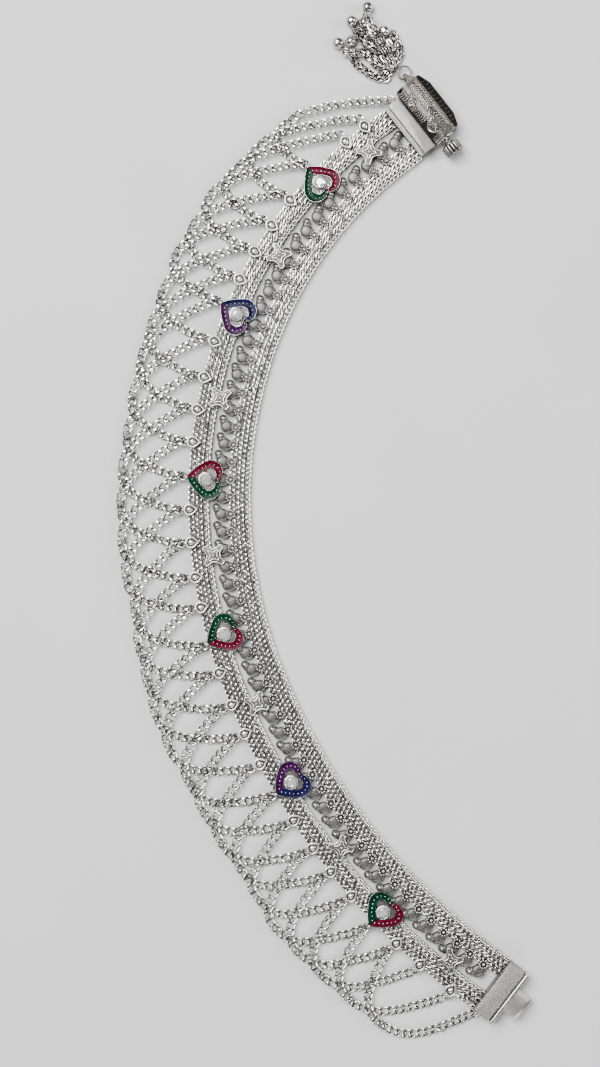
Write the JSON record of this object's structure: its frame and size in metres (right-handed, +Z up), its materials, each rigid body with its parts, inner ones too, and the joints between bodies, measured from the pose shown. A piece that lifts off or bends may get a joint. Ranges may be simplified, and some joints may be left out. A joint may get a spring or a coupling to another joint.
{
  "type": "silver anklet with a chain fringe",
  "caption": "Open woven-band anklet laid flat, with enamelled hearts, drop studs, a net of hanging curb chains, a screw clasp and a small bell tassel.",
  "frame": {"origin": "middle of the space that the ankle goes in, on the surface that the open anklet lies on", "axes": "+X away from the fringe, out of the open side; +Y along the length, towards the end with the screw clasp; +Z up from the surface"},
  "size_m": [0.1079, 0.2691, 0.0067],
  "materials": {
    "silver": "woven, cast and soldered silver, bright on the raised edges and darker between them",
    "chain_silver": "bright silver wire links, darker where they meet",
    "dark_silver": "oxidised silver with rubbed bright edges",
    "enamel_red": "deep glossy red enamel",
    "enamel_green": "deep glossy green enamel",
    "enamel_navy": "deep glossy navy enamel",
    "enamel_purple": "deep glossy purple enamel",
    "stone": "clear cut stone"
  },
  "bodies": {
    "anklet": {"inner_band": "silver", "outer_band": "silver", "paisley_row": "silver", "drop_studs": "silver", "bow_motifs": "silver", "heart_1": "silver", "heart_2": "silver", "heart_3": "silver", "heart_4": "silver", "heart_5": "silver", "heart_6": "silver", "stone_1": "stone", "stone_2": "stone", "stone_3": "stone", "stone_4": "stone", "stone_5": "stone", "stone_6": "stone", "enamel_red": "enamel_red", "enamel_green": "enamel_green", "enamel_navy": "enamel_navy", "enamel_purple": "enamel_purple", "swag_01": "chain_silver", "swag_02": "chain_silver", "swag_03": "chain_silver", "swag_04": "chain_silver", "swag_05": "chain_silver", "swag_06": "chain_silver", "swag_07": "chain_silver", "swag_08": "chain_silver", "swag_09": "chain_silver", "swag_10": "chain_silver", "swag_11": "chain_silver", "swag_12": "chain_silver", "swag_13": "chain_silver", "swag_14": "chain_silver", "swag_15": "chain_silver", "swag_16": "chain_silver", "swag_17": "chain_silver", "swag_18": "chain_silver", "swag_19": "chain_silver", "swag_20": "chain_silver", "swag_21": "chain_silver", "swag_22": "chain_silver", "swag_23": "chain_silver", "swag_24": "chain_silver", "swag_25": "chain_silver", "swag_26": "chain_silver", "swag_27": "chain_silver", "swag_28": "chain_silver", "swag_29": "chain_silver", "swag_30": "chain_silver", "head_cap": "silver", "tongue_cap": "silver", "clasp_housing": "dark_silver", "jump_ring": "dark_silver", "tassel_chains": "silver", "tassel_bells": "silver"},
    "shaft": {"screw_shaft": "silver"},
    "knob": {"screw_knob": "silver"}
  },
  "joints": [
    {"name": "screw_out", "type": "slide", "parent": "anklet", "child": "shaft", "axis": [0.6157, -0.788, 0], "range_m": [0, 0.009]},
    {"name": "screw_turn", "type": "hinge", "parent": "shaft", "child": "knob", "pos_m": [-0.00165, 0.1079, 0.003], "axis": [0.6157, -0.788, 0], "range_deg": [0, 3600]}
  ],
  "couplings": [
    {"joint": "screw_turn", "follows": "screw_out", "rad_per_m": 6981.3}
  ]
}
